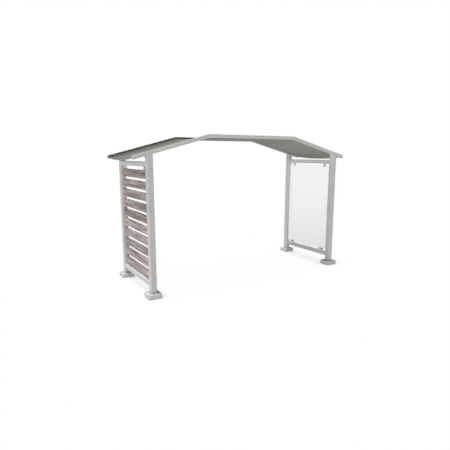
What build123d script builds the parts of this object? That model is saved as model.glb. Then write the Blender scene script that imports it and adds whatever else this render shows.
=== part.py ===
from build123d import *
from math import cos, radians, sin, tan
import os

# Open shelter on four posts, in millimetres and degrees.
# X runs left to right, Y runs front to back and Z points up from the ground.

# Plan of the posts, between their centres
BAY_WIDTH = 4020
BAY_DEPTH = 1390

# Feet and posts
FOOT_SIDE = 230
FOOT_HEIGHT = 80
FOOT_CHAMFER = 6
POST_SIDE = 100
POST_CORNER = 6

# Cross rails between the posts of each side, stacked up from the feet
RAIL_SIDE = 80
RAIL_CORNER = 5
LOWER_RAIL_RISE = 100
LOWER_RAIL_GAP = 31
UPPER_RAIL_GAP = 28
UPPER_RAIL_HEADROOM = 105

# The panel that fills each side: a pane on the right, a slat screen on the left
PANE_HEIGHT = 1828
PANE_END_GAP = 4
PANE_THICKNESS = 12
PANE_CHAMFER = 1
SCREEN_DROP = 28
SLAT_HEIGHT = 144
SLAT_NOMINAL_GAP = 40
SLAT_THICKNESS = 20
SLAT_EDGE = 2.5

# Clips that hold the panels to the rails, wide and shallow below, narrow and deep above
CLIP_INSET = 165
LOWER_CLIP_WIDTH = 120
LOWER_CLIP_GRIP = 12
UPPER_CLIP_WIDTH = 50
UPPER_CLIP_GRIP = 30
CLIP_CHEEK = 9
CLIP_WEB = 12
CLIP_PLAY = 0.3
CLIP_TOP_GAP = 3
CLIP_CHAMFER = 2
CLIP_STEM = 30

# Roof: bent beams over the post rows, with a sheet that sags between them
FLAT_LENGTH = 1860
EAVE_OVERHANG = 265
ROOF_FALL = 14.8
BEAM_WIDTH = 60
BEAM_DEPTH = 60
BEAM_CORNER = 4
SHEET_SEAT = 19
SHEET_THICKNESS = 6
SHEET_SAG = 33
FLASHING_THICKNESS = 3

# How far the lengths of roof run past their cuts
OVERRUN = 200

# Heights that follow from the stack
lower_rail_bottom = FOOT_HEIGHT + LOWER_RAIL_RISE
panel_bottom = lower_rail_bottom + RAIL_SIDE + LOWER_RAIL_GAP
pane_top = panel_bottom + PANE_HEIGHT
screen_height = PANE_HEIGHT - SCREEN_DROP
screen_top = panel_bottom + screen_height
upper_rail_bottom = pane_top + UPPER_RAIL_GAP
beam_seat = upper_rail_bottom + RAIL_SIDE + UPPER_RAIL_HEADROOM

# Places that follow from the plan
post_x = BAY_WIDTH / 2
post_y = BAY_DEPTH / 2
rail_length = BAY_DEPTH - POST_SIDE
pane_length = rail_length - 2 * PANE_END_GAP
clip_y = pane_length / 2 - CLIP_INSET
knee_x = FLAT_LENGTH / 2
eave_x = post_x + EAVE_OVERHANG
beam_face_y = post_y - BEAM_WIDTH / 2

# The beams' top line falls from the flat to the eaves
fall = tan(radians(ROOF_FALL))
flat_top = beam_seat + BEAM_DEPTH / cos(radians(ROOF_FALL)) + (post_x - knee_x) * fall
eave_top = flat_top - (eave_x - knee_x) * fall
slope_run = (eave_x - knee_x) / cos(radians(ROOF_FALL))

# Depths of the sheet below that line where it meets the beams
sheet_under = BEAM_DEPTH - SHEET_SEAT
sheet_over = sheet_under - SHEET_THICKNESS

SIDES = {"left": -1, "right": 1}
ENDS = {"front": -1, "back": 1}


def save(piece, name):
    """Label a finished piece and write it under that name."""
    piece.label = name
    export_step(piece, f"parts/{name}.step")


def across_roof(x, z, tilt):
    """A plane across the roof whose normal points right and falls by tilt."""
    normal = (cos(radians(tilt)), 0, -sin(radians(tilt)))
    return Plane(origin=(x, 0, z), x_dir=(0, 1, 0), z_dir=normal)


# Each straight length of roof has the plane of its section, its run and its two end cuts
left_end = across_roof(-eave_x, eave_top, 0)
left_knee = across_roof(-knee_x, flat_top, -ROOF_FALL / 2)
right_knee = across_roof(knee_x, flat_top, ROOF_FALL / 2)
right_end = across_roof(eave_x, eave_top, 0)
LENGTHS = {
    "left": (across_roof(-eave_x, eave_top, -ROOF_FALL), slope_run, left_end, left_knee),
    "middle": (across_roof(-knee_x, flat_top, 0), FLAT_LENGTH, left_knee, right_knee),
    "right": (across_roof(knee_x, flat_top, ROOF_FALL), slope_run, right_knee, right_end),
}


def roof_length(section, place):
    """One straight length of roof with the given section, mitred at the knees."""
    plane, run, start, end = LENGTHS[place]
    with BuildPart() as length:
        with BuildSketch(plane.offset(-OVERRUN)):
            add(section)
        extrude(amount=run + 2 * OVERRUN)
        split(bisect_by=start, keep=Keep.TOP)
        split(bisect_by=end, keep=Keep.BOTTOM)
    return length.part


def foot(x, y):
    """A square block that stands on the ground under a post."""
    with BuildPart() as block:
        with BuildSketch():
            with Locations((x, y)):
                Rectangle(FOOT_SIDE, FOOT_SIDE)
        extrude(amount=FOOT_HEIGHT)
        chamfer(block.faces().sort_by(Axis.Z)[-1].edges(), FOOT_CHAMFER)
    return block.part


def post(x, y, place):
    """A square post whose head is cut to the slope of the beam that it carries."""
    top_line = LENGTHS[place][0]
    underside = Plane(top_line.origin - top_line.y_dir * BEAM_DEPTH, z_dir=top_line.y_dir)
    with BuildPart() as column:
        with BuildSketch(Plane.XY.offset(FOOT_HEIGHT)):
            with Locations((x, y)):
                RectangleRounded(POST_SIDE, POST_SIDE, POST_CORNER)
        extrude(amount=flat_top)
        split(bisect_by=underside, keep=Keep.BOTTOM)
    return column.part


def rail(x, bottom):
    """A square rail from the front post to the back post."""
    with BuildPart() as bar:
        with BuildSketch(Plane.XZ):
            with Locations((x, bottom + RAIL_SIDE / 2)):
                RectangleRounded(RAIL_SIDE, RAIL_SIDE, RAIL_CORNER)
        extrude(amount=rail_length / 2, both=True)
    return bar.part


def clip(x, y, width, grip, thickness, panel_edge, rail_face, slack):
    """A forked clip on a stem: the fork holds the panel's edge, the stem meets the rail."""
    outward = 1 if rail_face > panel_edge else -1
    slot_width = thickness + 2 * CLIP_PLAY
    slot_depth = grip + slack
    mouth = panel_edge - outward * grip
    back = panel_edge + outward * (slack + CLIP_WEB)
    with BuildPart() as holder:
        with BuildSketch(Plane.XZ.offset(-y)):
            with Locations((x, (mouth + back) / 2)):
                Rectangle(slot_width + 2 * CLIP_CHEEK, slot_depth + CLIP_WEB)
            with Locations((x, mouth + outward * slot_depth / 2)):
                Rectangle(slot_width, slot_depth, mode=Mode.SUBTRACT)
        extrude(amount=width / 2, both=True)
        rims = holder.edges().filter_by(Axis.Y).group_by(Axis.X)
        chamfer(rims[0] + rims[-1], CLIP_CHAMFER)
        with BuildSketch(Plane.XY.offset(min(back, rail_face))):
            with Locations((x, y)):
                Circle(CLIP_STEM / 2)
        extrude(amount=abs(rail_face - back))
    return holder.part


def slat(x, bottom):
    """A board of the screen with eased edges, from post to post."""
    with BuildPart() as board:
        with BuildSketch(Plane.XZ):
            with Locations((x, bottom + SLAT_HEIGHT / 2)):
                RectangleRounded(SLAT_THICKNESS, SLAT_HEIGHT, SLAT_EDGE)
        extrude(amount=rail_length / 2, both=True)
    return board.part


def beam_section(y):
    """The beam's section, with its top on the roof's top line."""
    with BuildSketch() as section:
        with Locations((y, -BEAM_DEPTH / 2)):
            RectangleRounded(BEAM_WIDTH, BEAM_DEPTH, BEAM_CORNER)
    return section.sketch


def sheet_section():
    """The sheet's section, an even arc that hangs between the beams."""
    with BuildSketch() as section:
        with BuildLine():
            ThreePointArc(
                (-beam_face_y, -sheet_over),
                (0, -sheet_over - SHEET_SAG),
                (beam_face_y, -sheet_over),
            )
            Line((beam_face_y, -sheet_over), (beam_face_y, -sheet_under))
            ThreePointArc(
                (beam_face_y, -sheet_under),
                (0, -sheet_under - SHEET_SAG),
                (-beam_face_y, -sheet_under),
            )
            Line((-beam_face_y, -sheet_under), (-beam_face_y, -sheet_over))
        make_face()
    return section.sketch


def flashing_section(end):
    """The upstand's section, on the beam's inner face above the sheet."""
    middle_y = end * (beam_face_y - FLASHING_THICKNESS / 2)
    height = sheet_over - BEAM_CORNER
    with BuildSketch() as section:
        with Locations((middle_y, -BEAM_CORNER - height / 2)):
            Rectangle(FLASHING_THICKNESS, height)
    return section.sketch


os.makedirs("parts", exist_ok=True)

# Feet, posts and rails
for side, x_sign in SIDES.items():
    x = x_sign * post_x
    for end, y_sign in ENDS.items():
        y = y_sign * post_y
        save(foot(x, y), f"foot_{end}_{side}")
        save(post(x, y, side), f"post_{end}_{side}")
    save(rail(x, lower_rail_bottom), f"rail_lower_{side}")
    save(rail(x, upper_rail_bottom), f"rail_upper_{side}")

# Clips, two on each rail
thicknesses = {"left": SLAT_THICKNESS, "right": PANE_THICKNESS}
tops = {"left": screen_top, "right": pane_top}
for side, x_sign in SIDES.items():
    x = x_sign * post_x
    thickness = thicknesses[side]
    for end, y_sign in ENDS.items():
        y = y_sign * clip_y
        lower_face = lower_rail_bottom + RAIL_SIDE
        lower = clip(x, y, LOWER_CLIP_WIDTH, LOWER_CLIP_GRIP, thickness, panel_bottom, lower_face, 0)
        upper = clip(
            x, y, UPPER_CLIP_WIDTH, UPPER_CLIP_GRIP, thickness, tops[side], upper_rail_bottom, CLIP_TOP_GAP
        )
        save(lower, f"clip_lower_{end}_{side}")
        save(upper, f"clip_upper_{end}_{side}")

# Pane of the right side
with BuildPart() as pane:
    with BuildSketch(Plane.XZ):
        with Locations((post_x, panel_bottom + PANE_HEIGHT / 2)):
            Rectangle(PANE_THICKNESS, PANE_HEIGHT)
    extrude(amount=pane_length / 2, both=True)
    chamfer(pane.edges(), PANE_CHAMFER)
save(pane.part, "glass_pane_right")

# Slat screen of the left side, with as many boards as fill its height
slat_count = round((screen_height + SLAT_NOMINAL_GAP) / (SLAT_HEIGHT + SLAT_NOMINAL_GAP))
slat_pitch = (screen_height - SLAT_HEIGHT) / (slat_count - 1)
for index in range(slat_count):
    save(slat(-post_x, panel_bottom + index * slat_pitch), f"slat_{index + 1:02d}")

# Beams and sheets, one for each straight length of roof
for place in LENGTHS:
    for end, y_sign in ENDS.items():
        save(roof_length(beam_section(y_sign * post_y), place), f"beam_{end}_{place}")
    save(roof_length(sheet_section(), place), f"roof_sheet_{place}")

# Upstand flashings, each one strip folded at the knees
for end, y_sign in ENDS.items():
    with BuildPart() as flashing:
        for place in LENGTHS:
            add(roof_length(flashing_section(y_sign), place))
    save(flashing.part, f"flashing_{end}")
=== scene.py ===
"""Looks of an open-sided shelter canopy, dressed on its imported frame.

Sizes are in metres, in the frame's own axes: X runs left to right, Y runs front to back and Z points up.
"""

import logging
import math
from collections.abc import Sequence
from dataclasses import dataclass
from enum import Enum, StrEnum
from functools import cache
from itertools import product

import bmesh
import bpy
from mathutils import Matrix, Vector, noise


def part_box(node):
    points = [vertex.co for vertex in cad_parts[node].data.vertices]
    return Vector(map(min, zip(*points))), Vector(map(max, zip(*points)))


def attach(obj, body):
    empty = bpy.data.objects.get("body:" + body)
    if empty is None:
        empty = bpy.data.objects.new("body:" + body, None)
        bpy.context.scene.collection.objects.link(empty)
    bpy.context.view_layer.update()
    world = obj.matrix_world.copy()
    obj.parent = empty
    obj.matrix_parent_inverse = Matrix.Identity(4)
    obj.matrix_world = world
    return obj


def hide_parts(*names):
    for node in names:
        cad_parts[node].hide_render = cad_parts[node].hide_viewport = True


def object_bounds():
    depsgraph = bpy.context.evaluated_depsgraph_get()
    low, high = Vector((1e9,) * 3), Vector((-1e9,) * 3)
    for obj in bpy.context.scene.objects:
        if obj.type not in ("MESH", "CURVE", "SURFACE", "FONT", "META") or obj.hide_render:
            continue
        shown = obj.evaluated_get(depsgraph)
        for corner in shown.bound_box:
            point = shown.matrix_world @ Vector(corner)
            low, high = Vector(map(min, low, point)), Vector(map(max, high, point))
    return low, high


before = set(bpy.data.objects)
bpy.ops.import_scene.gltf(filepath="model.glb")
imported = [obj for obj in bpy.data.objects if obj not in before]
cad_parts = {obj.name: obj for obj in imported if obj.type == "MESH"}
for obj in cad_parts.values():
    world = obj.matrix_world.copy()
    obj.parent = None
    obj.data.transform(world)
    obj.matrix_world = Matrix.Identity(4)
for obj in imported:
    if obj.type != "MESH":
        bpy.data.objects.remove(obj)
cad_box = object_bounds()

LOG = logging.getLogger("canopy")
BODY = "root"
PANE_NODE = "glass_pane_right"
FULL_TURN = 2.0 * math.pi
ROOF_FALL = math.radians(14.8)
WHITE = (1.0, 1.0, 1.0, 1.0)
HEX_SIDE = FULL_TURN / 6.0

# How far a small piece sinks into what it sits on.
BURIED = 0.0005

# Places of the colour sockets on a mix node, which share their names with others.
MIX_SHARE, MIX_UNDER, MIX_OVER, MIX_RESULT = 0, 6, 7, 2

Socket = bpy.types.NodeSocket
Material = bpy.types.Material
Colour = tuple[float, float, float]
Point = tuple[float, float, float]
Pair = tuple[float, float]
Shares = tuple[Pair, ...]
Outline = list[Pair]
Rings = Sequence[Sequence[Vector]]


class Side(StrEnum):
    """The two ends of the shelter along its length."""

    LEFT = "left"
    RIGHT = "right"

    @property
    def outward(self) -> float:
        """Which way along X leads away from the middle."""
        return -1.0 if self is Side.LEFT else 1.0


class End(StrEnum):
    """The two rows of posts."""

    FRONT = "front"
    BACK = "back"

    @property
    def inward(self) -> float:
        """Which way along Y leads to the middle."""
        return 1.0 if self is End.FRONT else -1.0

    def face(self, low: Vector, high: Vector) -> float:
        """Where this end of a box lies along Y."""
        return low.y if self is End.FRONT else high.y


class Level(StrEnum):
    """The two cross rails of a side."""

    LOWER = "lower"
    UPPER = "upper"


class Span(StrEnum):
    """The straight lengths of the roof."""

    LEFT = "left"
    MIDDLE = "middle"
    RIGHT = "right"


class Slot(StrEnum):
    """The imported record's material slots."""

    FRAME = "frame_paint"
    FOOTING = "footing_concrete"
    ROOF = "roof_coat"
    FLASHING = "flashing_charcoal"
    CLIP = "clip_steel"
    WOOD = "screen_wood"
    GLASS = "frosted_glass"


class BoardTone(Enum):
    """How dark a board has weathered, as a share of the usual shade."""

    DARK = 0.84
    MIDDLE = 1.0
    PALE = 1.16
    BLEACHED = 1.34


@dataclass(frozen=True)
class Grain:
    """A cloudy noise: patches to the metre, octaves of finer noise and how strong those are."""

    scale: float
    detail: float = 3.0
    roughness: float = 0.55


@dataclass(frozen=True)
class Band:
    """A range of values, and the results that stand at its start and at its stop."""

    start: float
    stop: float
    low: float = 0.0
    high: float = 1.0


# Most of a noise's values lie between these two.
NOISE_ENDS = (0.3, 0.7)
TURNED_OVER = Band(0.0, 1.0, 1.0, 0.0)


def shade(colour: Colour, share: float) -> Colour:
    """A colour made darker or lighter by a share."""
    return (colour[0] * share, colour[1] * share, colour[2] * share)


class NodeSheet:
    """One node tree, with short calls for the nodes that the finishes have in common."""

    def __init__(self, owner: str | bpy.types.World) -> None:
        """Open the tree of a new material or of the surroundings.

        Args:
            owner: The new material's name, or the surroundings.
        """
        self.owner = bpy.data.materials.new(owner) if isinstance(owner, str) else owner
        self.owner.use_nodes = True
        self.tree = self.owner.node_tree

    def add(self, kind: str, out: str | int, feeds: dict[str | int, object], **settings: object) -> Socket:
        """Add a node and feed it.

        Args:
            kind: Blender's name for the node's type, without its prefix.
            out: Which output to hand back.
            feeds: For each input, the socket to join or the value to set.
            **settings: The node's own settings.

        Returns:
            The output's socket.
        """
        made = self.tree.nodes.new(f"ShaderNode{kind}")
        for name, value in settings.items():
            setattr(made, name, value)
        for name, value in feeds.items():
            if isinstance(value, Socket):
                self.tree.links.new(value, made.inputs[name])
            else:
                made.inputs[name].default_value = value
        return made.outputs[out]

    def place(self, stretch: Point = (1.0, 1.0, 1.0), shift: Point = (0.0, 0.0, 0.0)) -> Socket:
        """Coordinates in the frame's axes, drawn out by a small stretch and set apart by a shift."""
        source = self.add("TexCoord", "Object", {})
        return self.add("Mapping", "Vector", {"Vector": source, "Scale": stretch, "Location": shift})

    def axis(self, name: str, place: Socket) -> Socket:
        """One axis of a set of coordinates."""
        return self.add("SeparateXYZ", name, {"Vector": place})

    def facing_up(self) -> Socket:
        """How far the surface faces up, from minus one to one."""
        return self.axis("Z", self.add("NewGeometry", "Normal", {}))

    def noise(self, place: Socket, grain: Grain) -> Socket:
        """Cloudy noise."""
        look = {"Scale": grain.scale, "Detail": grain.detail, "Roughness": grain.roughness}
        return self.add("TexNoise", "Fac", {"Vector": place, **look})

    def spots(self, place: Socket, scale: float) -> Socket:
        """Distance to the nearest of many scattered points, for pores."""
        return self.add("TexVoronoi", "Distance", {"Vector": place, "Scale": scale})

    def span(self, value: Socket, band: Band) -> Socket:
        """Stretch a band of values onto its results, held at both ends."""
        limits = {"From Min": band.start, "From Max": band.stop, "To Min": band.low, "To Max": band.high}
        return self.add("MapRange", "Result", {"Value": value, **limits})

    def reckon(self, operation: str, *values: Socket) -> Socket:
        """Work a sum on one or two values."""
        return self.add("Math", "Value", dict(enumerate(values)), operation=operation)

    def times(self, first: Socket, second: Socket) -> Socket:
        """The product of two values."""
        return self.reckon("MULTIPLY", first, second)

    def ramp(self, value: Socket, *stops: tuple[float, Colour]) -> Socket:
        """Colours along a value.

        Args:
            value: The value to read.
            *stops: Each colour with the value at which it stands.

        Returns:
            The colour's socket.
        """
        result = self.add("ValToRGB", "Color", {"Fac": value})
        elements = result.node.color_ramp.elements
        while len(elements) < len(stops):
            elements.new(0.5)
        for element, (position, colour) in zip(elements, stops):
            element.position = position
            element.color = (*colour, 1.0)
        return result

    def waver(self, value: Socket, colour: Colour, shares: Pair, ends: Pair = NOISE_ENDS) -> Socket:
        """A colour that runs from one share of itself to another along a value."""
        return self.ramp(value, (ends[0], shade(colour, shares[0])), (ends[1], shade(colour, shares[1])))

    def stain(self, base: Socket, colour: Colour, share: Socket) -> Socket:
        """Lay a colour over another by a share that varies."""
        feeds = {MIX_SHARE: share, MIX_UNDER: base, MIX_OVER: (*colour, 1.0)}
        return self.add("Mix", MIX_RESULT, feeds, data_type="RGBA")

    def about(self, value: Socket, middle: float, spread: float) -> Socket:
        """A number that swings about a middle along a noise."""
        return self.span(value, Band(*NOISE_ENDS, middle - spread, middle + spread))

    def relief(self, height: Socket, depth: float, below: Socket | None = None) -> Socket:
        """Turn a height into bump of a depth, over the normal of any coarser relief."""
        coarser = {} if below is None else {"Normal": below}
        return self.add("Bump", "Normal", {"Distance": depth, "Height": height, **coarser})

    def fix(self, name: str, value: float) -> None:
        """Set one of the shader's own sockets to a value that is the same all over."""
        self.tree.nodes["Principled BSDF"].inputs[name].default_value = value

    def coat(self, colour: Socket, roughness: Socket, normal: Socket) -> Material:
        """Feed the shader.

        Args:
            colour: The surface's colour.
            roughness: The surface's roughness.
            normal: The surface's relief.

        Returns:
            The finished material.
        """
        inputs = self.tree.nodes["Principled BSDF"].inputs
        for name, source in (("Base Color", colour), ("Roughness", roughness), ("Normal", normal)):
            self.tree.links.new(source, inputs[name])
        return self.owner


@dataclass(frozen=True)
class PaintFinish:
    """Satin powder coat: orange peel, dust with painted light on low ledges, soot with painted shade on
    high ones, splash near the ground.
    """

    name: str
    colour: Colour
    clouding: float = 0.05
    roughness: Pair = (0.46, 0.10)
    clouds: Grain = Grain(2.3, 5.0)
    cloud_ends: Pair = (0.32, 0.68)
    flecks: Grain = Grain(70.0, 4.0)
    peel: Grain = Grain(380.0, 2.0, 0.4)
    peel_depth: float = 0.00018
    ledges: Band = Band(0.6, 0.95)
    patches: Band = Band(*NOISE_ENDS, 0.6, 1.0)
    # Pale dust on low upward faces: partly real dust, partly painted light that brightens lit tops.
    dust: Colour = (0.78, 0.775, 0.755)
    low_dust: Band = Band(0.4, 1.2, 0.30, 0.0)
    # Dark soot on high upward faces: partly real grime, partly painted shade that dims the lit tops of the
    # beams.
    soot: Colour = (0.150, 0.148, 0.140)
    high_soot: Band = Band(1.8, 2.2, 0.0, 0.60)
    splash: Colour = (0.55, 0.54, 0.515)
    splash_rise: Band = Band(0.05, 0.50, 0.22, 0.0)
    drip_stretch: Point = (1.0, 1.0, 0.18)
    drips: Grain = Grain(26.0, 5.0, 0.65)
    drip_edge: Band = Band(0.42, 0.66)

    def material(self) -> Material:
        """Lay the coat out as nodes.

        Returns:
            The material.
        """
        sheet = NodeSheet(self.name)
        place = sheet.place()
        shares = (1.0 - self.clouding, 1.0 + self.clouding)
        colour = sheet.waver(sheet.noise(place, self.clouds), self.colour, shares, self.cloud_ends)
        fleck = sheet.noise(place, self.flecks)
        height = sheet.axis("Z", place)
        ledge = sheet.times(sheet.span(sheet.facing_up(), self.ledges), sheet.span(fleck, self.patches))
        # Low upward faces: dust with painted light.
        colour = sheet.stain(colour, self.dust, sheet.times(ledge, sheet.span(height, self.low_dust)))
        # High upward faces: soot with painted shade.
        colour = sheet.stain(colour, self.soot, sheet.times(ledge, sheet.span(height, self.high_soot)))
        drip = sheet.span(sheet.noise(sheet.place(self.drip_stretch), self.drips), self.drip_edge)
        colour = sheet.stain(colour, self.splash, sheet.times(sheet.span(height, self.splash_rise), drip))
        rough = sheet.about(fleck, *self.roughness)
        return sheet.coat(colour, rough, sheet.relief(sheet.noise(place, self.peel), self.peel_depth))


@dataclass(frozen=True)
class RoofFinish:
    """Matt sheet coating: faint runs down the slope, painted shade on its upper side, and dirt with painted
    shade along the upstands.
    """

    name: str
    colour: Colour
    # Darker copy of the colour for the upward side: painted shade, so the lit top reads no brighter than
    # the underside.
    upper: Colour
    clouding: float = 0.06
    clouds: Grain = Grain(1.7, 6.0, 0.6)
    upper_side: Band = Band(0.2, 0.8)
    upper_share: Band = Band(*NOISE_ENDS, 0.80, 0.90)
    # Near-black band against the upstands on the upward side: partly dirt, partly painted shade in the
    # corner.
    grime: Colour = (0.035, 0.034, 0.031)
    grime_edge: Band = Band(0.22, 0.64, 0.0, 0.95)
    run_stretch: Point = (0.10, 1.0, 0.10)
    runs: Grain = Grain(42.0, 5.0, 0.62)
    run_shade: float = 0.72
    run_edge: Band = Band(0.52, 0.78, 0.0, 0.35)
    flecks: Grain = Grain(120.0)
    fleck_shade: float = 1.3
    fleck_edge: Band = Band(0.58, 0.75, 0.0, 0.25)
    sheen: float = 0.12
    roughness: Pair = (0.80, 0.10)
    grain: Grain = Grain(260.0)
    grain_depth: float = 0.00025

    def material(self) -> Material:
        """Lay the coating out as nodes.

        Returns:
            The material.
        """
        sheet = NodeSheet(self.name)
        sheet.fix("Specular IOR Level", self.sheen)
        place = sheet.place()
        cloud = sheet.noise(place, self.clouds)
        colour = sheet.waver(cloud, self.colour, (1.0 - self.clouding, 1.0 + self.clouding))
        # Painted shade: the upward side takes the darker upper colour.
        upward = sheet.span(sheet.facing_up(), self.upper_side)
        colour = sheet.stain(colour, self.upper, sheet.times(upward, sheet.span(cloud, self.upper_share)))
        # Dirt and painted shade darken the upward side close to the upstands.
        edge = sheet.span(sheet.reckon("ABSOLUTE", sheet.axis("Y", place)), self.grime_edge)
        colour = sheet.stain(colour, self.grime, sheet.times(upward, sheet.times(edge, edge)))
        runs = sheet.noise(sheet.place(self.run_stretch), self.runs)
        colour = sheet.stain(colour, shade(self.colour, self.run_shade), sheet.span(runs, self.run_edge))
        fleck = sheet.span(sheet.noise(place, self.flecks), self.fleck_edge)
        colour = sheet.stain(colour, shade(self.colour, self.fleck_shade), fleck)
        rough = sheet.about(runs, *self.roughness)
        return sheet.coat(colour, rough, sheet.relief(sheet.noise(place, self.grain), self.grain_depth))


@dataclass(frozen=True)
class ConcreteFinish:
    """Cast concrete: mottled paste, sand flecks, air pores darkened with painted shade, and a damp foot."""

    name: str
    pale: Colour
    dark: Colour
    paste: Grain = Grain(15.0, 8.0, 0.65)
    paste_places: Point = (0.30, 0.52, 0.75)
    paste_light: float = 1.12
    sand: Grain = Grain(420.0, 4.0, 0.7)
    sand_shade: float = 0.75
    sand_edge: Band = Band(0.55, 0.80, 0.0, 0.45)
    sand_depth: float = 0.0006
    pore_scale: float = 150.0
    pore_edge: Band = Band(0.10, 0.22, 1.0, 0.0)
    pore_groups: Grain = Grain(31.0)
    group_edge: Band = Band(0.48, 0.58)
    # How dark the pores are painted: painted shade in the pits.
    pore_shade: float = 0.45
    pore_depth: float = 0.0016
    damp_rise: Band = Band(0.002, 0.022, 0.55, 0.0)
    damp_edge: Band = Band(0.3, 0.6)
    damp_shade: float = 0.7
    roughness: Band = Band(*NOISE_ENDS, 0.78, 0.95)

    def material(self) -> Material:
        """Lay the concrete out as nodes.

        Returns:
            The material.
        """
        sheet = NodeSheet(self.name)
        place = sheet.place()
        paste = sheet.noise(place, self.paste)
        sand = sheet.noise(place, self.sand)
        groups = sheet.span(sheet.noise(place, self.pore_groups), self.group_edge)
        pores = sheet.times(sheet.span(sheet.spots(place, self.pore_scale), self.pore_edge), groups)
        colours = (self.dark, self.pale, shade(self.pale, self.paste_light))
        colour = sheet.ramp(paste, *zip(self.paste_places, colours))
        colour = sheet.stain(colour, shade(self.dark, self.sand_shade), sheet.span(sand, self.sand_edge))
        # Painted shade in the air pores.
        colour = sheet.stain(colour, shade(self.dark, self.pore_shade), pores)
        damp = sheet.times(
            sheet.span(sheet.axis("Z", place), self.damp_rise), sheet.span(paste, self.damp_edge)
        )
        colour = sheet.stain(colour, shade(self.dark, self.damp_shade), damp)
        grit = sheet.relief(sand, self.sand_depth)
        pitted = sheet.relief(sheet.span(pores, TURNED_OVER), self.pore_depth, grit)
        return sheet.coat(colour, sheet.span(paste, self.roughness), pitted)


@dataclass(frozen=True)
class BoardFinish:
    """Weathered softwood with long grain, silvered streaks, fine fibres and drying checks darkened with
    painted shade.
    """

    name: str
    number: int
    tone: BoardTone
    dark: Colour = (0.098, 0.082, 0.081)
    usual: Colour = (0.262, 0.226, 0.222)
    pale: Colour = (0.430, 0.384, 0.377)
    # Near-black colour of the drying checks: painted shade in the cracks.
    check: Colour = (0.045, 0.034, 0.032)
    shift_step: Point = (1.37, 3.91, 0.73)
    streak_stretch: float = 0.045
    streaks: Grain = Grain(30.0, 7.0, 0.56)
    streak_places: Point = (0.34, 0.50, 0.66)
    ring_scale: float = 15.0
    ring_bend: float = 7.0
    ring_detail: Grain = Grain(1.4)
    ring_edge: Band = Band(0.55, 1.0, 0.0, 0.42)
    ring_depth: float = 0.0009
    fibre_stretch: float = 0.02
    fibres: Grain = Grain(520.0, 3.0, 0.6)
    dark_fibre: Band = Band(0.50, 0.72, 0.0, 0.45)
    pale_fibre: Band = Band(0.46, 0.28, 0.0, 0.30)
    fibre_depth: float = 0.0006
    check_stretch: float = 0.028
    checks: Grain = Grain(52.0, 2.0, 0.4)
    check_above: Band = Band(0.492, 0.500)
    check_below: Band = Band(0.500, 0.508, 1.0, 0.0)
    group_stretch: float = 0.6
    check_groups: Grain = Grain(3.1, 2.0)
    group_edge: Band = Band(0.50, 0.60)
    check_depth: float = 0.003
    roughness: Band = Band(*NOISE_ENDS, 0.92, 0.74)

    def drawn_out(self, sheet: NodeSheet, stretch: float) -> Socket:
        """Coordinates drawn out along the board, set apart from the other boards'."""
        shift = tuple(step * self.number for step in self.shift_step)
        return sheet.place((1.0, stretch, 1.0), shift)

    def material(self) -> Material:
        """Lay the board's grain out as nodes.

        Returns:
            The material.
        """
        sheet = NodeSheet(self.name)
        along = self.drawn_out(sheet, self.streak_stretch)
        streaks = sheet.noise(along, self.streaks)
        colours = [shade(colour, self.tone.value) for colour in (self.dark, self.usual, self.pale)]
        colour = sheet.ramp(streaks, *zip(self.streak_places, colours))
        feeds = {"Vector": along, "Scale": self.ring_scale, "Distortion": self.ring_bend}
        feeds |= {"Detail": self.ring_detail.detail, "Detail Scale": self.ring_detail.scale}
        ring = sheet.add("TexWave", "Fac", feeds, bands_direction="Z")
        colour = sheet.stain(colour, colours[0], sheet.span(ring, self.ring_edge))
        fibre = sheet.noise(self.drawn_out(sheet, self.fibre_stretch), self.fibres)
        colour = sheet.stain(colour, self.dark, sheet.span(fibre, self.dark_fibre))
        colour = sheet.stain(colour, self.pale, sheet.span(fibre, self.pale_fibre))
        split = sheet.noise(self.drawn_out(sheet, self.check_stretch), self.checks)
        groups = sheet.noise(self.drawn_out(sheet, self.group_stretch), self.check_groups)
        crack = sheet.times(sheet.span(split, self.check_above), sheet.span(split, self.check_below))
        crack = sheet.times(crack, sheet.span(groups, self.group_edge))
        # Painted shade in the drying checks.
        colour = sheet.stain(colour, self.check, crack)
        normal = sheet.relief(sheet.span(ring, TURNED_OVER), self.ring_depth)
        normal = sheet.relief(fibre, self.fibre_depth, normal)
        normal = sheet.relief(sheet.span(crack, TURNED_OVER), self.check_depth, normal)
        return sheet.coat(colour, sheet.span(streaks, self.roughness), normal)


@dataclass(frozen=True)
class GlassFinish:
    """Toughened glass: a fine etched face, or a polished edge with the sheet's green tint."""

    name: str
    colour: Colour
    roughness: Pair
    transmission: float
    haze: Grain = Grain(3.4, 5.0, 0.6)
    haze_shares: Pair = (0.985, 1.0)
    etch: Grain = Grain(900.0, 2.0)
    etch_depth: float = 0.00006
    refraction: float = 1.5

    def material(self) -> Material:
        """Lay the glass out as nodes.

        Returns:
            The material.
        """
        sheet = NodeSheet(self.name)
        sheet.fix("Transmission Weight", self.transmission)
        sheet.fix("IOR", self.refraction)
        place = sheet.place()
        haze = sheet.noise(place, self.haze)
        colour = sheet.waver(haze, self.colour, self.haze_shares)
        rough = sheet.about(haze, *self.roughness)
        return sheet.coat(colour, rough, sheet.relief(sheet.noise(place, self.etch), self.etch_depth))


@dataclass(frozen=True)
class SteelFinish:
    """Brushed stainless steel with fine lines along Y and a few handling marks."""

    name: str
    colour: Colour
    roughness: Pair
    line_stretch: Point = (1.0, 0.03, 1.0)
    lines: Grain = Grain(1400.0, 3.0, 0.6)
    line_depth: float = 0.00008
    marks: Grain = Grain(60.0, 5.0, 0.65)
    mark_shares: Pair = (0.84, 1.08)

    def material(self) -> Material:
        """Lay the brushed steel out as nodes.

        Returns:
            The material.
        """
        sheet = NodeSheet(self.name)
        sheet.fix("Metallic", 1.0)
        lines = sheet.noise(sheet.place(self.line_stretch), self.lines)
        colour = sheet.waver(sheet.noise(sheet.place(), self.marks), self.colour, self.mark_shares)
        rough = sheet.about(lines, *self.roughness)
        return sheet.coat(colour, rough, sheet.relief(lines, self.line_depth))


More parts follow.
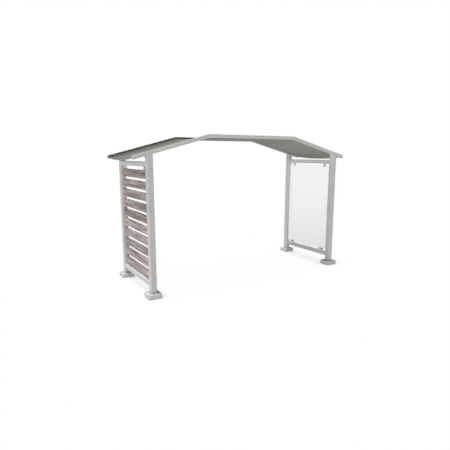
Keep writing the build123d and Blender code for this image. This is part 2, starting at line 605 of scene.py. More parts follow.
@dataclass(frozen=True)
class SealFinish:
    """Rubber or mastic: dark, matt and slightly dusty."""

    name: str
    colour: Colour
    bloom: Grain = Grain(48.0, 6.0, 0.65)
    bloom_shares: Pair = (1.0, 1.9)
    bloom_ends: Pair = (0.35, 0.75)
    roughness: Band = Band(*NOISE_ENDS, 0.62, 0.84)
    grain: Grain = Grain(300.0, 4.0)
    grain_depth: float = 0.0005

    def material(self) -> Material:
        """Lay the seal out as nodes.

        Returns:
            The material.
        """
        sheet = NodeSheet(self.name)
        place = sheet.place()
        bloom = sheet.noise(place, self.bloom)
        colour = sheet.waver(bloom, self.colour, self.bloom_shares, self.bloom_ends)
        grain = sheet.relief(sheet.noise(place, self.grain), self.grain_depth)
        return sheet.coat(colour, sheet.span(bloom, self.roughness), grain)


Finish = PaintFinish | RoofFinish | ConcreteFinish | BoardFinish | GlassFinish | SteelFinish | SealFinish

FRAME_PAINT = PaintFinish("frame_powder_coat", (0.400, 0.400, 0.392))
FLASHING_PAINT = PaintFinish(
    "flashing_charcoal_coat", (0.040, 0.040, 0.037), clouding=0.12, roughness=(0.5, 0.10),
    dust=(0.20, 0.195, 0.18), low_dust=Band(0.4, 1.2, 0.18, 0.0),
)
# The roof's second colour is painted shade for the sheet's upward side.
ROOF_COAT = RoofFinish("roof_olive_grey_coat", (0.262, 0.257, 0.233), (0.096, 0.094, 0.084))
FOOTING_CONCRETE = ConcreteFinish("footing_cast_concrete", (0.450, 0.447, 0.437), (0.320, 0.317, 0.307))
ETCHED_FACE = GlassFinish(
    "pane_etched_face", (0.945, 0.947, 0.946), roughness=(0.66, 0.03), transmission=0.45,
)
POLISHED_EDGE = GlassFinish(
    "pane_polished_edge", (0.60, 0.76, 0.70), roughness=(0.14, 0.03), transmission=0.55,
)
CLIP_STEEL = SteelFinish("clip_brushed_steel", (0.42, 0.416, 0.408), roughness=(0.36, 0.10))
FIXING_STEEL = SteelFinish("fixing_plain_steel", (0.42, 0.415, 0.405), roughness=(0.42, 0.10))
BASE_MASTIC = SealFinish("base_grey_mastic", (0.180, 0.179, 0.174))
CLIP_RUBBER = SealFinish("clip_black_rubber", (0.018, 0.018, 0.017))
ROOF_SEALANT = SealFinish("roof_dark_sealant", (0.050, 0.049, 0.046))


@cache
def material_of(finish: Finish) -> Material:
    """The material of a finish, made on the first call."""
    return finish.material()


def eased(corners: Sequence[Point], steps: int = 4) -> Outline:
    """Outline of a flat shape with each corner rounded.

    Args:
        corners: Each corner's two coordinates and its radius, in order.
        steps: Cuts across each round.

    Returns:
        The outline's points.
    """
    outline: Outline = []
    for index, (u, v, radius) in enumerate(corners):
        corner = Vector((u, v))
        before = (Vector(corners[index - 1][:2]) - corner).normalized()
        after = (Vector(corners[(index + 1) % len(corners)][:2]) - corner).normalized()
        half = before.angle(after) / 2.0
        start = corner + before * (radius / math.tan(half))
        centre = corner + (before + after).normalized() * (radius / math.sin(half))
        arm = start - centre
        sweep = math.copysign(math.pi - 2.0 * half, before.cross(after) * -1.0)
        for step in range(steps + 1):
            turn = sweep * step / steps
            outline.append((
                centre.x + arm.x * math.cos(turn) - arm.y * math.sin(turn),
                centre.y + arm.x * math.sin(turn) + arm.y * math.cos(turn),
            ))
    return outline


def divided(outline: Outline, cell: float) -> Outline:
    """An outline with its long runs cut into cells.

    Args:
        outline: The points in order round the shape.
        cell: Longest run that stays whole.

    Returns:
        The outline with the cuts added.
    """
    result: Outline = []
    for index, start in enumerate(outline):
        stop = outline[(index + 1) % len(outline)]
        count = max(1, round(math.dist(start, stop) / cell))
        run, rise = stop[0] - start[0], stop[1] - start[1]
        for share in (cut / count for cut in range(count)):
            result.append((start[0] + run * share, start[1] + rise * share))
    return result


def rectangle(half_width: float, half_height: float, radius: float, steps: int = 4) -> Outline:
    """Outline of a rectangle about the origin with rounded corners."""
    signs = ((1.0, -1.0), (1.0, 1.0), (-1.0, 1.0), (-1.0, -1.0))
    return eased([(u * half_width, v * half_height, radius) for u, v in signs], steps)


def scaled(shares: Shares, width: float, height: float) -> Outline:
    """A small profile, given as shares of its width and height."""
    return [(width * across, height * up) for across, up in shares]


def unit_noise(spot: Vector) -> float:
    """Smooth noise at a spot, from nought to one."""
    return 0.5 + 0.5 * noise.noise(spot)


def box_of(node: str) -> tuple[Vector, Vector, Vector]:
    """The low corner, the high corner and the middle of a CAD node's box."""
    low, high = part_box(node)
    return low, high, (low + high) / 2.0


def dress(node: str, finish: Finish) -> None:
    """Give a CAD node its finish and report it.

    Args:
        node: The node's name.
        finish: Its finish.
    """
    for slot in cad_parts[node].material_slots:
        slot.material = material_of(finish)
    LOG.info("%s: dressed with %s", node, finish.name)


def add_to_scene(name: str, data: bpy.types.ID) -> bpy.types.Object:
    """Put new data into the scene as an object.

    Args:
        name: The object's name.
        data: Its mesh, light or camera.

    Returns:
        The object.
    """
    made = bpy.data.objects.new(name, data)
    bpy.context.scene.collection.objects.link(made)
    return made


class Shell:
    """Faces gathered for one mesh."""

    def __init__(self, rings: Rings = (), joined: bool = False) -> None:
        """Start a mesh, with a skin over any rings it is given.

        Args:
            rings: Closed outlines of equal length, in order.
            joined: Whether the last ring meets the first.
        """
        self.mesh = bmesh.new()
        if rings:
            self.skin(rings, joined)

    def skin(self, rings: Rings, joined: bool = False) -> list[bmesh.types.BMFace]:
        """Join rings of equal length with faces.

        Args:
            rings: Closed outlines in order.
            joined: Whether the last ring meets the first; otherwise both are filled.

        Returns:
            The two faces that fill the end rings, or an empty list.
        """
        rows = [[self.mesh.verts.new(point) for point in ring] for ring in rings]
        pairs = list(zip(rows, rows[1:]))
        if joined:
            pairs.append((rows[-1], rows[0]))
        for row, following in pairs:
            for index, corner in enumerate(row):
                after = (index + 1) % len(row)
                self.mesh.faces.new((corner, row[after], following[after], following[index]))
        if joined:
            return []
        return [self.mesh.faces.new(list(reversed(rows[0]))), self.mesh.faces.new(rows[-1])]

    def turned(self, centre: Vector, axis: Vector, profile: Outline, steps: int, hollow: int = 0) -> None:
        """Turn a profile round an axis, as on a lathe.

        Args:
            centre: Foot of the axis.
            axis: Direction of the axis.
            profile: Pairs of radius and height along the axis.
            steps: Cuts round the turn.
            hollow: How many of the last rings follow a hexagon, for a key's socket.
        """
        along = axis.normalized()
        across = along.orthogonal().normalized()
        third = along.cross(across)
        rings = []
        for index, (radius, rise) in enumerate(profile):
            ring = []
            for step in range(steps):
                turn = FULL_TURN * step / steps
                reach = radius
                if index >= len(profile) - hollow:
                    reach = radius * math.cos(HEX_SIDE / 2.0) / math.cos(turn % HEX_SIDE - HEX_SIDE / 2.0)
                arm = across * math.cos(turn) + third * math.sin(turn)
                ring.append(centre + along * rise + arm * reach)
            rings.append(ring)
        self.skin(rings)

    def settle(self, name: str, sharp: float, finish: Finish, slot: Slot, *nodes: str) -> bpy.types.Mesh:
        """Turn the faces into a piece, give it its finish, tie it to the frame and report it.

        Args:
            name: The piece's name.
            sharp: Angle in degrees above which an edge stays sharp.
            finish: Its finish.
            slot: The record's slot for the piece; not used.
            *nodes: CAD nodes that it stands for.

        Returns:
            The piece's mesh.
        """
        bmesh.ops.recalc_face_normals(self.mesh, faces=self.mesh.faces[:])
        mesh = bpy.data.meshes.new(name)
        self.mesh.to_mesh(mesh)
        self.mesh.free()
        for polygon in mesh.polygons:
            polygon.use_smooth = True
        mesh.set_sharp_from_angle(angle=math.radians(sharp))
        mesh.materials.append(material_of(finish))
        piece = add_to_scene(name, mesh)
        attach(piece, BODY)
        if nodes:
            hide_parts(*nodes)
        LOG.info("%s: %d faces", name, len(mesh.polygons))
        return mesh


@dataclass(frozen=True)
class TurnedHead:
    """The head of a screw or rivet, its profile given as shares of its radius and height."""

    radius: float
    height: float
    profile: Shares
    steps: int = 24
    socket_rings: int = 2

    def turn(self, shell: Shell, centre: Vector, axis: Vector) -> None:
        """Add the head to a mesh."""
        profile = [(self.radius, -BURIED), *scaled(self.profile, self.radius, self.height)]
        shell.turned(centre, axis, profile, self.steps, self.socket_rings)


@dataclass
class Footing:
    """A cast block under a post, with worn rims, and a bead of mastic round the post."""

    node: str
    corner: float = 0.004
    rim: float = 0.006
    rim_cuts: Point = (0.35, 0.7, 1.0)
    cell: float = 0.0065
    levels: int = 12
    top_rings: int = 10
    under_post: float = 0.040
    wear_reach: float = 0.016
    wear_depth: float = 0.0065
    chip_scale: float = 24.0
    chip_shift: Point = (3.1, 0.7, 5.3)
    chip_least: float = 0.22
    unevenness: float = 0.0007
    uneven_scale: float = 55.0
    sharp: float = 50.0
    post_half: float = 0.050
    post_corner: float = 0.006
    bead_reach: float = 0.012
    bead_rise: float = 0.020
    bead_round: Shares = ((0.92, 0.22), (0.66, 0.52), (0.34, 0.80), (0.10, 0.96))
    bead_steps: int = 6
    bead_wobble: float = 0.10
    bead_scale: float = 40.0
    bead_sharp: float = 60.0

    def __post_init__(self) -> None:
        """Read the block's place and size from the frame."""
        low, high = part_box(self.node)
        self.middle = Vector(((low.x + high.x) / 2.0, (low.y + high.y) / 2.0, 0.0))
        self.half, self.top = (high.x - low.x) / 2.0, high.z

    def worn(self, point: Vector) -> Vector:
        """Wear a point of the block back from its cast shape.

        Args:
            point: The point as cast.

        Returns:
            The worn point, never outside the cast shape.
        """
        arm = point - self.middle
        to_top = self.top - point.z
        side_gap = self.half - max(abs(arm.x), abs(arm.y))
        corner_gap = self.half - min(abs(arm.x), abs(arm.y))
        rim_gap = min(max(to_top, side_gap), max(corner_gap, side_gap))
        near = max(0.0, 1.0 - rim_gap / self.wear_reach)
        rough = unit_noise(point * self.uneven_scale)
        chip = noise.noise(point * self.chip_scale + Vector(self.chip_shift))
        depth = self.unevenness * rough + self.wear_depth * max(0.0, chip - self.chip_least) * near
        inward = Vector((-arm.x, -arm.y, 0.0)).normalized()
        if to_top < self.rim:
            sideways = inward if side_gap < self.rim * 2.0 else Vector()
            inward = (sideways + Vector((0.0, 0.0, -1.0))).normalized()
        moved = point + inward * depth
        if point.z <= 0.0:
            moved.z = 0.0
        return moved

    def block(self) -> None:
        """Build the block in the place of its CAD node."""
        half, rim, top = self.half, self.rim, self.top
        wall_top = top - rim
        run = half - rim - self.under_post
        stations = [(0.0, wall_top * level / self.levels) for level in range(self.levels + 1)]
        stations += [(rim * cut, wall_top + rim * cut) for cut in self.rim_cuts]
        stations += [(rim + run * ring / self.top_rings, top) for ring in range(1, self.top_rings + 1)]
        plain = divided(rectangle(half, half, self.corner), self.cell)
        rings = []
        for inset, level in stations:
            share = 1.0 - inset / half
            rings.append([self.worn(self.middle + Vector((u * share, v * share, level))) for u, v in plain])
        name = self.node.replace("foot", "footing")
        Shell(rings).settle(name, self.sharp, FOOTING_CONCRETE, Slot.FOOTING, self.node)

    def bead(self) -> None:
        """Build the mastic round the post's base."""
        section = [(-BURIED, -BURIED), (self.bead_reach, -BURIED)]
        section += scaled(self.bead_round, self.bead_reach, self.bead_rise)
        section.append((-BURIED, self.bead_rise))
        rings = []
        for out, up in section:
            half = self.post_half + out
            ring = []
            for u, v in rectangle(half, half, self.post_corner + out, self.bead_steps):
                spot = self.middle + Vector((u * self.bead_scale, v * self.bead_scale, self.top / 2.0))
                swell = 1.0 + self.bead_wobble * noise.noise(spot)
                ring.append(self.middle + Vector((u, v, self.top + up * swell)))
            rings.append(ring)
        name = self.node.replace("foot", "base_bead")
        Shell(rings, joined=True).settle(name, self.bead_sharp, BASE_MASTIC, Slot.FOOTING)

    def build(self) -> None:
        """Build the block and its bead."""
        self.block()
        self.bead()


@dataclass
class PostFrame:
    """Posts and cross rails, with the weld beads that join them to each other and to the beams."""

    rail_half: float = 0.040
    rail_corner: float = 0.005
    weld_leg: float = 0.006
    weld_arc: int = 18
    weld_pitch: float = 0.0035
    weld_ripple: float = 0.10
    weld_sharp: float = 70.0
    head_half: float = 0.048
    beam_half: float = 0.030

    def __post_init__(self) -> None:
        """Work out the section of a rounded weld bead."""
        leg, turns = self.weld_leg, [math.radians(turn) for turn in range(self.weld_arc, 90, self.weld_arc)]
        arc = [(leg * math.cos(turn), leg * math.sin(turn)) for turn in turns]
        self.section = [(-BURIED, -BURIED), (leg, -BURIED), *arc, (-BURIED, leg)]

    def swell(self, cut: int) -> float:
        """How full the bead is at a cut, as it ripples along."""
        return 1.0 + (self.weld_ripple if cut % 2 else -self.weld_ripple)

    def rail_weld(self, level: Level, side: Side, end: End) -> None:
        """Build the bead round one end of a rail.

        Args:
            level: Which rail.
            side: Which side of the shelter.
            end: Which post it meets.
        """
        low, high, middle = box_of(f"rail_{level}_{side}")
        plain = divided(rectangle(self.rail_half, self.rail_half, self.rail_corner), self.weld_pitch)
        rings = []
        for reach, rise in self.section:
            ring = []
            for index, (u, v) in enumerate(plain):
                swell = self.swell(index)
                grow = 1.0 + reach * swell / self.rail_half
                place = end.face(low, high) + end.inward * rise * swell
                ring.append(Vector((middle.x + u * grow, place, middle.z + v * grow)))
            rings.append(ring)
        name = f"rail_weld_{level}_{side}_{end}"
        Shell(rings, joined=True).settle(name, self.weld_sharp, FRAME_PAINT, Slot.FRAME)

    def head_weld(self, side: Side, end: End) -> None:
        """Build the two beads between a post's head and its beam, as one piece.

        Args:
            side: Which side of the shelter.
            end: Which row of posts.
        """
        low, high, middle = box_of(f"post_{end}_{side}")
        run = Vector((math.cos(ROOF_FALL), 0.0, -side.outward * math.sin(ROOF_FALL)))
        up = Vector((side.outward * math.sin(ROOF_FALL), 0.0, math.cos(ROOF_FALL)))
        head = high.z - (high.x - low.x) / 2.0 * math.tan(ROOF_FALL)
        count = round(2.0 * self.head_half / self.weld_pitch)
        shell = Shell()
        for out in (-1.0, 1.0):
            start = Vector((middle.x, middle.y + out * self.beam_half, head))
            rings = []
            for cut in range(count + 1):
                swell = self.swell(cut)
                along = start + run * (self.head_half * (2.0 * cut / count - 1.0))
                rings.append([
                    along + Vector((0.0, out * reach * swell, 0.0)) + up * rise * swell
                    for reach, rise in self.section
                ])
            shell.skin(rings)
        shell.settle(f"head_weld_{end}_{side}", self.weld_sharp, FRAME_PAINT, Slot.FRAME)

    def build(self) -> None:
        """Dress the posts and rails, and build the beads."""
        for side in Side:
            for end in End:
                dress(f"post_{end}_{side}", FRAME_PAINT)
                self.head_weld(side, end)
            for level in Level:
                dress(f"rail_{level}_{side}", FRAME_PAINT)
                for end in End:
                    self.rail_weld(level, side, end)


@dataclass
class SlatScreen:
    """The left side's ten boards, held to the posts by a cleat at each end."""

    tones: tuple[BoardTone, ...] = (
        BoardTone.BLEACHED, BoardTone.PALE, BoardTone.MIDDLE, BoardTone.PALE, BoardTone.BLEACHED,
        BoardTone.DARK, BoardTone.PALE, BoardTone.PALE, BoardTone.MIDDLE, BoardTone.DARK,
    )
    edge: float = 0.003
    end_ease: float = 0.0015
    end_cuts: Point = (0.0, 0.4, 1.0)
    cell: float = 0.009
    stations: int = 66
    wane: float = 0.0009
    wane_field: Pair = (7.3, 6.0)
    hollow: float = 0.0007
    hollow_field: Point = (3.7, 4.0, 22.0)
    back_hollow: float = 0.3
    board_sharp: float = 34.0
    cleat_leg: float = 0.030
    cleat_thick: float = 0.003
    cleat_half_high: float = 0.045
    cleat_bend: float = 0.0025
    cleat_heel: float = 0.0004
    cleat_ease: float = 0.0008
    fixing_sharp: float = 30.0
    screw: TurnedHead = TurnedHead(
        0.0050, 0.0030, ((1.0, 0.35), (0.86, 0.78), (0.62, 1.0), (0.42, 1.0), (0.40, 0.25))
    )
    screw_place: float = 0.018
    screw_spread: float = 0.026

    def __post_init__(self) -> None:
        """Name the boards' CAD nodes, from the bottom up."""
        self.nodes = [f"slat_{number:02d}" for number in range(1, len(self.tones) + 1)]

    def board(self, number: int) -> None:
        """Build one board in the place of its CAD node.

        Args:
            number: The board's place from the bottom, which sets its own unevenness.
        """
        node = self.nodes[number - 1]
        low, high, middle = box_of(node)
        half_thick, half_long, half_high = (high - low) / 2.0
        plain = divided(rectangle(half_thick, half_high, self.edge), self.cell)
        ends = [-half_long + self.end_ease * cut for cut in self.end_cuts]
        inner = half_long - self.end_ease
        places = ends + [-inner + 2.0 * inner * cut / self.stations for cut in range(1, self.stations)]
        places += [-place for place in reversed(ends)]
        rings = []
        for place in places:
            ease = self.end_ease * max(0.0, 1.0 - (half_long - abs(place)) / self.end_ease) ** 2
            spot = Vector((number * self.wane_field[0], place * self.wane_field[1], 0.0))
            tall = half_high - ease - self.wane * unit_noise(spot)
            ring = []
            for u, v in plain:
                share = v / half_high
                spot = Vector((number, place, v)) * Vector(self.hollow_field)
                dip = self.hollow * unit_noise(spot) * (1.0 - share * share)
                thick = half_thick - ease - (dip if u < 0.0 else dip * self.back_hollow)
                ring.append(middle + Vector((u / half_thick * thick, place, share * tall)))
            rings.append(ring)
        finish = BoardFinish(f"board_{number:02d}_weathered_softwood", number, self.tones[number - 1])
        Shell(rings).settle(f"board_{number:02d}", self.board_sharp, finish, Slot.WOOD, node)

    def cleats(self, end: End) -> None:
        """Build the angles that hold the boards to one post, and two button heads in each of their legs.

        Args:
            end: Which post.
        """
        leg, thick, ease, reach = self.cleat_leg, self.cleat_thick, self.cleat_ease, self.screw_place
        outline = eased([
            (0.0, 0.0, self.cleat_heel), (leg, 0.0, ease), (leg, thick, ease),
            (thick, thick, self.cleat_bend), (thick, leg, ease), (0.0, leg, ease),
        ])
        angles, heads = Shell(), Shell()
        for node in self.nodes:
            low, high, middle = box_of(node)
            face = end.face(low, high)
            angles.skin([
                [Vector((high.x + u, face + end.inward * v, middle.z + rise)) for u, v in outline]
                for rise in (-self.cleat_half_high, self.cleat_half_high)
            ])
            for lift in (-self.screw_spread, self.screw_spread):
                on_board = Vector((high.x + thick, face + end.inward * reach, middle.z + lift))
                on_post = Vector((high.x + reach, face + end.inward * thick, middle.z + lift))
                self.screw.turn(heads, on_board, Vector((1.0, 0.0, 0.0)))
                self.screw.turn(heads, on_post, Vector((0.0, end.inward, 0.0)))
        angles.settle(f"board_cleats_{end}", self.fixing_sharp, FRAME_PAINT, Slot.FRAME)
        heads.settle(f"cleat_screws_{end}", self.fixing_sharp, FIXING_STEEL, Slot.CLIP)

    def build(self) -> None:
        """Build the cleats, their screws and the boards."""
        for end in End:
            self.cleats(end)
        for number in range(1, len(self.tones) + 1):
            self.board(number)


@dataclass
class GlassSide:
    """The right side's frosted pane, with etched faces and polished, eased edges."""

    corner: float = 0.004
    corner_steps: int = 6
    arris: float = 0.0012
    arris_round: float = 0.3
    sharp: float = 20.0

    def build(self) -> None:
        """Build the pane in the place of its CAD node, its edges in the second finish."""
        low, high, middle = box_of(PANE_NODE)
        half = (high - low) / 2.0
        ease = self.arris * self.arris_round
        near = [(self.arris, 0.0), (ease, ease), (0.0, self.arris)]
        stations = [(inset, -half.x + depth) for inset, depth in near]
        stations += [(inset, half.x - depth) for inset, depth in reversed(near)]
        rings = []
        for inset, place in stations:
            outline = rectangle(half.y - inset, half.z - inset, self.corner - inset, self.corner_steps)
            rings.append([middle + Vector((place, u, v)) for u, v in outline])
        shell = Shell()
        faces = shell.skin(rings)
        for face in shell.mesh.faces:
            face.material_index = 0 if face in faces else 1
        pane = shell.settle("frosted_pane", self.sharp, ETCHED_FACE, Slot.GLASS, PANE_NODE)
        pane.materials.append(material_of(POLISHED_EDGE))


@dataclass
class PanelClip:
    """A forked clip on a stem that holds a panel to its rail, with rubber lips and a screw."""

    level: Level
    end: End
    side: Side
    cheek: float = 0.009
    web: float = 0.012
    play: float = 0.0003
    top_slack: float = 0.003
    mouth_radius: float = 0.0025
    back_radius: float = 0.006
    slot_radius: float = 0.0012
    end_ease: float = 0.0010
    ease_cuts: int = 2
    fork_sharp: float = 32.0
    stem_radius: float = 0.015
    stem_steps: int = 40
    neck: Pair = (0.001, 0.0008)
    neck_drop: float = 0.003
    flange_radius: float = 0.021
    flange_rise: float = 0.005
    flange_ease: float = 0.0012
    lip: float = 0.0026
    lip_half: float = 0.75
    lip_round: float = 0.5
    lip_stand: float = 0.4
    lip_sharp: float = 40.0
    screw: TurnedHead = TurnedHead(
        0.0062, 0.0034, ((1.0, 0.7), (0.9, 0.95), (0.8, 1.0), (0.55, 1.0), (0.53, 0.2))
    )
    screw_sharp: float = 30.0

    def __post_init__(self) -> None:
        """Read the clip's place, and the panel's edge that it grips, from the frame."""
        panel = PANE_NODE
        if self.side is Side.LEFT:
            panel = "slat_01" if self.level is Level.LOWER else "slat_10"
        self.label = f"{self.level}_{self.end}_{self.side}"
        low, high, self.middle = box_of(f"clip_{self.label}")
        panel_low, panel_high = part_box(panel)
        self.half_slot = (panel_high.x - panel_low.x) / 2.0 + self.play
        self.half_wide = (high.y - low.y) / 2.0
        if self.level is Level.LOWER:
            self.outward, self.mouth, self.depth = -1.0, high.z, abs(panel_low.z - high.z)
        else:
            self.outward, self.mouth, self.depth = 1.0, low.z, abs(panel_high.z - low.z) + self.top_slack
        self.whole = self.depth + self.web
        self.stem = high.z - low.z - self.whole

    def fork(self) -> None:
        """Build the fork and its stem in the place of the CAD node."""
        slot, depth, whole, middle = self.half_slot, self.depth, self.whole, self.middle
        outer = slot + self.cheek
        outline = eased([
            (outer, 0.0, self.mouth_radius), (outer, whole, self.back_radius),
            (-outer, whole, self.back_radius), (-outer, 0.0, self.mouth_radius),
            (-slot, 0.0, self.slot_radius), (-slot, depth, self.slot_radius),
            (slot, depth, self.slot_radius), (slot, 0.0, self.slot_radius),
        ])
        shell = Shell()
        ends = shell.skin([
            [Vector((middle.x + u, middle.y + place, self.mouth + self.outward * v)) for u, v in outline]
            for place in (-self.half_wide, self.half_wide)
        ])
        rims = list(dict.fromkeys(edge for face in ends for edge in face.edges))
        bevel = {"offset": self.end_ease, "segments": self.ease_cuts, "affect": "EDGES", "profile": 0.5}
        bmesh.ops.bevel(shell.mesh, geom=rims, clamp_overlap=True, **bevel)
        shoulder = self.stem - self.flange_rise
        profile = [
            (self.stem_radius, -BURIED),
            (self.stem_radius, shoulder - self.neck_drop),
            (self.stem_radius + self.neck[0], shoulder - self.neck[1]),
            (self.flange_radius - self.flange_ease, shoulder),
            (self.flange_radius, shoulder + self.flange_ease),
            (self.flange_radius, self.stem),
        ]
        back = Vector((middle.x, middle.y, self.mouth + self.outward * whole))
        shell.turned(back, Vector((0.0, 0.0, self.outward)), profile, self.stem_steps)
        node = f"clip_{self.label}"
        shell.settle(f"panel_{node}", self.fork_sharp, CLIP_STEEL, Slot.CLIP, node)

    def lips(self) -> None:
        """Build the rubber lips at the fork's mouth, as one piece."""
        half = self.lip * self.lip_half
        section = rectangle(half, half, self.lip * self.lip_round)
        level = self.mouth - self.outward * self.lip * self.lip_stand
        reach = self.half_wide - self.end_ease
        shell = Shell()
        for face in (-1.0, 1.0):
            centre = self.middle.x + face * (self.half_slot - self.play + half)
            shell.skin([
                [Vector((centre + u, self.middle.y + place, level + v)) for u, v in section]
                for place in (-reach, reach)
            ])
        shell.settle(f"clip_lips_{self.label}", self.lip_sharp, CLIP_RUBBER, Slot.CLIP)

    def build(self) -> None:
        """Build the fork, its lips and the screw in its outer cheek."""
        self.fork()
        self.lips()
        cheek = self.middle.x - self.half_slot - self.cheek
        place = Vector((cheek, self.middle.y, self.mouth + self.outward * self.whole / 2.0))
        shell = Shell()
        self.screw.turn(shell, place, Vector((-1.0, 0.0, 0.0)))
        shell.settle(f"clip_screw_{self.label}", self.screw_sharp, FIXING_STEEL, Slot.CLIP)


@dataclass
class RoofShell:
    """Bent beams, the sagging sheet between them, its hems, seams and sealant, and the flashings."""

    sheet_under: float = 0.041
    sheet_over: float = 0.035
    sag: float = 0.033
    steps: int = 48
    strip_sharp: float = 40.0
    hem_width: float = 0.020
    hem_drop: float = 0.003
    hem_edge: Shares = ((0.0, 0.75), (0.3, 1.0))
    hem_back: Shares = ((-0.6, 1.0), (-0.1, 0.6))
    seam_width: float = 0.016
    seam_rise: float = 0.003
    seam_round: Shares = ((-0.9, 0.7), (-0.6, 1.0), (0.0, 1.0), (0.6, 1.0), (0.9, 0.7))
    bead: float = 0.005
    bead_hollow: float = 0.6
    bead_wobble: float = 0.12
    bead_scale: float = 9.0
    bead_sharp: float = 60.0
    rivet_pitch: float = 0.24
    rivet: TurnedHead = TurnedHead(0.0045, 0.0022, ((0.96, 0.35), (0.7, 0.8), (0.3, 1.0)), 16, 0)
    rivet_sharp: float = 50.0
    flashing_drop: float = 0.0195
    flashing_thick: float = 0.003

    def __post_init__(self) -> None:
        """Read the knees' place, the flat's top and half the width between the beams from the frame."""
        _, flat_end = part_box("beam_front_middle")
        self.knee, self.flat_top = flat_end.x, flat_end.z
        self.half_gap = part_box("roof_sheet_middle")[1].y

    def dip(self, y: float) -> float:
        """How far the sheet hangs below its edges at a place across the roof."""
        radius = (self.half_gap * self.half_gap + self.sag * self.sag) / (2.0 * self.sag)
        return math.sqrt(radius * radius - y * y) - (radius - self.sag)

    def level(self, x: float, depth: float) -> float:
        """Height of a place along the roof, at a depth square to the beams' top."""
        slope = self.flat_top - (abs(x) - self.knee) * math.tan(ROOF_FALL) - depth / math.cos(ROOF_FALL)
        return min(self.flat_top - depth, slope)

    def across(self, name: str, start: float, depth: float, section: Outline) -> None:
        """Build a strip that runs across the sheet from beam to beam.

        Args:
            name: The piece's name.
            start: Place along the roof.
            depth: Depth of the sheet's edge below the beams' top.
            section: Pairs of offset along the roof and depth from the sheet.
        """
        half = self.half_gap - BURIED
        rings = []
        for cut in range(self.steps + 1):
            y = half * (2.0 * cut / self.steps - 1.0)
            sheet = depth + self.dip(y)
            rings.append([Vector((start + u, y, self.level(start + u, sheet + v))) for u, v in section])
        Shell(rings).settle(name, self.strip_sharp, ROOF_COAT, Slot.ROOF)

    def trim(self, side: Side) -> None:
        """Build one eave's folded hem and the low, flat roll of the seam over its knee.

        Args:
            side: Which eave.
        """
        low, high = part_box(f"roof_sheet_{side}")
        edge = low.x if side is Side.LEFT else high.x
        drop, width = self.hem_drop, self.hem_width
        back = [(width + u, v) for u, v in scaled(self.hem_back, drop, drop)]
        fold = [(0.0, -BURIED), *scaled(self.hem_edge, drop, drop), *back, (width, -BURIED)]
        self.across(f"eave_hem_{side}", edge, self.sheet_under, [(-side.outward * u, v) for u, v in fold])
        half = self.seam_width / 2.0
        roll = [(-half, BURIED), *scaled(self.seam_round, half, -self.seam_rise), (half, BURIED)]
        self.across(f"knee_seam_{side}", side.outward * self.knee, self.sheet_over, roll)

    def along(self, y: float, depth: float, section: Outline) -> Shell:
        """Sweep a bead along the roof, bent at the knees.

        Args:
            y: Place across the roof.
            depth: Depth below the beams' top.
            section: Pairs of offsets across the roof and upwards.

        Returns:
            The bead's faces.
        """
        low, high = cad_box
        runs = [low.x + BURIED, -self.knee, self.knee, high.x - BURIED]
        places = [
            start + (stop - start) * cut / self.steps
            for start, stop in zip(runs, runs[1:])
            for cut in range(self.steps)
        ]
        rings = []
        for x in (*places, runs[-1]):
            wobble = 1.0 + self.bead_wobble * noise.noise(Vector((x * self.bead_scale, y, depth)))
            rings.append([
                Vector((x, y + u * wobble, self.level(x, depth - v * wobble))) for u, v in section
            ])
        return Shell(rings)

    def rivets(self, end: End) -> None:
        """Build the rivets along one flashing, as one piece.

        Args:
            end: Which flashing.
        """
        face = -end.inward * (self.half_gap - self.flashing_thick)
        low, high = cad_box
        count = round((high.x - low.x) / self.rivet_pitch)
        shell = Shell()
        for index in range(count):
            x = low.x + (high.x - low.x) * (index + 0.5) / count
            centre = Vector((x, face, self.level(x, self.flashing_drop)))
            self.rivet.turn(shell, centre, Vector((0.0, end.inward, 0.0)))
        shell.settle(f"flashing_rivets_{end}", self.rivet_sharp, FIXING_STEEL, Slot.FLASHING)

    def seal(self, end: End) -> None:
        """Build the beads over and under one edge of the sheet.

        Args:
            end: Which edge.
        """
        size, waist, inward = self.bead, self.bead * self.bead_hollow, end.inward
        corner = [(0.0, -BURIED), (size, -BURIED), (waist, waist), (0.0, size)]
        over = [(inward * u, v) for u, v in corner]
        under = [(inward * u, -v) for u, v in corner]
        upper = self.along(-inward * (self.half_gap - self.flashing_thick), self.sheet_over, over)
        upper.settle(f"sheet_bead_over_{end}", self.bead_sharp, ROOF_SEALANT, Slot.FLASHING)
        lower = self.along(-inward * self.half_gap, self.sheet_under, under)
        lower.settle(f"sheet_bead_under_{end}", self.bead_sharp, ROOF_COAT, Slot.ROOF)

    def build(self) -> None:
        """Dress the beams, sheets and flashings, and build the trim."""
        for span in Span:
            dress(f"roof_sheet_{span}", ROOF_COAT)
            for end in End:
                dress(f"beam_{end}_{span}", FRAME_PAINT)
        for side in Side:
            self.trim(side)
        for end in End:
            dress(f"flashing_{end}", FLASHING_PAINT)
            self.rivets(end)
            self.seal(end)


@dataclass(frozen=True)
class SoftSun:
    """A far, soft light, given by where it stands in the sky."""

    name: str
    turn: float
    rise: float
    strength: float
    softness: float

    def hang(self) -> None:
        """Add the light to the scene."""
        light = bpy.data.lights.new(self.name, "SUN")
        light.energy = self.strength * math.pi
        light.angle = math.radians(self.softness)
        turn, rise = math.radians(self.turn), math.radians(self.rise)
        level = math.cos(rise)
        towards = Vector((-math.sin(turn) * level, -math.cos(turn) * level, math.sin(rise)))
        lamp = add_to_scene(self.name, light)
        lamp.rotation_mode = "QUATERNION"
        lamp.rotation_quaternion = (-towards).to_track_quat("-Z", "Y")


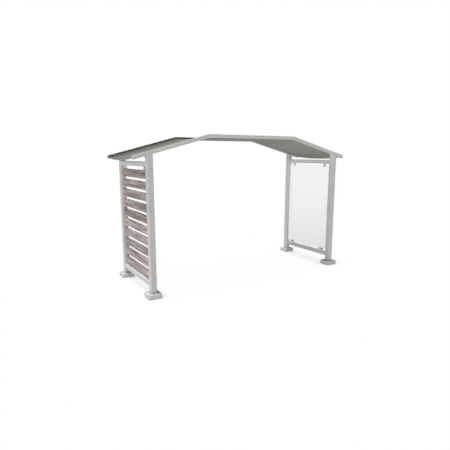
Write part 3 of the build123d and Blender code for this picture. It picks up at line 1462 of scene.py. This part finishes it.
@dataclass
class Studio:
    """White surroundings, pale floor, soft lights and the camera."""

    sky_light: float = 0.16
    floor_half: float = 40.0
    floor_colour: Colour = (0.62, 0.62, 0.62)
    floor_glow: Band = Band(3.0, 8.0, 0.985, 1.0)
    contact_reach: float = 0.28
    contact_shade: Band = Band(0.0, 1.0, 0.22, 1.0)
    contact_samples: int = 16
    lamps: tuple[SoftSun, ...] = (
        SoftSun("high_left", 107.0, 79.0, 1.30, 9.0),
        SoftSun("front_left_fill", 49.0, 5.0, 0.86, 20.0),
        SoftSun("back_right_fill", 225.0, 12.0, 0.15, 24.0),
    )
    camera_place: Point = (-4.2775, -6.7067, 2.3407)
    camera_tilt: float = 79.9473
    camera_heading: float = -31.3430
    lens: float = 31.8576
    sensor: float = 36.0

    def show(
        self, sheet: NodeSheet, lit: Socket, shown: Socket, output: str, share: Socket | None = None,
    ) -> None:
        """End a tree: one shader lights the shelter; the camera, a gloss or a glass sees the other.

        Args:
            sheet: The node tree.
            lit: The shader that lights the shelter.
            shown: The shader that is seen.
            output: Blender's name for the tree's end.
            share: How much of the second is seen, if not all.
        """
        seen = sheet.add("LightPath", "Is Camera Ray", {})
        rays = seen.node.outputs
        for name in ("Is Glossy Ray", "Is Transmission Ray"):
            seen = sheet.reckon("MAXIMUM", seen, rays[name])
        if share is not None:
            seen = sheet.times(share, seen)
        mix = sheet.add("MixShader", 0, {0: seen, 1: lit, 2: shown})
        sheet.tree.links.new(mix, sheet.tree.nodes[output].inputs["Surface"])

    def surroundings(self) -> None:
        """Light the scene from all round and show plain white behind it."""
        world = bpy.data.worlds.new("white_surroundings")
        bpy.context.scene.world = world
        sheet = NodeSheet(world)
        sheet.tree.nodes.remove(sheet.tree.nodes["Background"])
        lit = sheet.add("Background", 0, {"Color": WHITE, "Strength": self.sky_light})
        shown = sheet.add("Background", 0, {"Color": WHITE, "Strength": 1.0})
        self.show(sheet, lit, shown, "World Output")

    def floor(self) -> None:
        """Lay a white floor that keeps a faint shadow under the shelter."""
        sheet = NodeSheet("white_floor")
        sheet.tree.nodes.remove(sheet.tree.nodes["Principled BSDF"])
        pale = sheet.add("BsdfDiffuse", 0, {"Color": (*self.floor_colour, 1.0)})
        glow = sheet.add("Emission", 0, {"Color": WHITE, "Strength": 1.0})
        away = sheet.add("VectorMath", "Value", {0: sheet.place()}, operation="LENGTH")
        reach = {"Distance": self.contact_reach}
        contact = sheet.add("AmbientOcclusion", "AO", reach, samples=self.contact_samples)
        share = sheet.times(sheet.span(away, self.floor_glow), sheet.span(contact, self.contact_shade))
        self.show(sheet, pale, glow, "Material Output", share)
        half = self.floor_half
        corners = [(-half, -half, 0.0), (half, -half, 0.0), (half, half, 0.0), (-half, half, 0.0)]
        mesh = bpy.data.meshes.new("floor")
        mesh.from_pydata(corners, [], [(0, 1, 2, 3)])
        mesh.materials.append(sheet.owner)
        add_to_scene("floor", mesh)

    def camera(self) -> None:
        """Stand the camera at the photograph's viewing angle."""
        data = bpy.data.cameras.new("camera")
        data.sensor_width = self.sensor
        data.lens = self.lens
        data.dof.use_dof = False
        made = add_to_scene("camera", data)
        made.location = self.camera_place
        made.rotation_euler = (math.radians(self.camera_tilt), 0.0, math.radians(self.camera_heading))
        bpy.context.scene.camera = made

    def build(self) -> None:
        """Set up the whole studio."""
        bpy.context.scene.view_settings.view_transform = "Standard"
        self.surroundings()
        self.floor()
        self.camera()
        for lamp in self.lamps:
            lamp.hang()


def main() -> None:
    """Build the studio and every sub-assembly in order."""
    logging.basicConfig(level=logging.INFO, format="%(name)s: %(message)s")
    feet = [Footing(f"foot_{end}_{side}") for side, end in product(Side, End)]
    clips = [PanelClip(level, end, side) for side, level, end in product(Side, Level, End)]
    for part in (Studio(), *feet, PostFrame(), SlatScreen(), GlassSide(), *clips, RoofShell()):
        part.build()


if __name__ == "__main__":
    main()
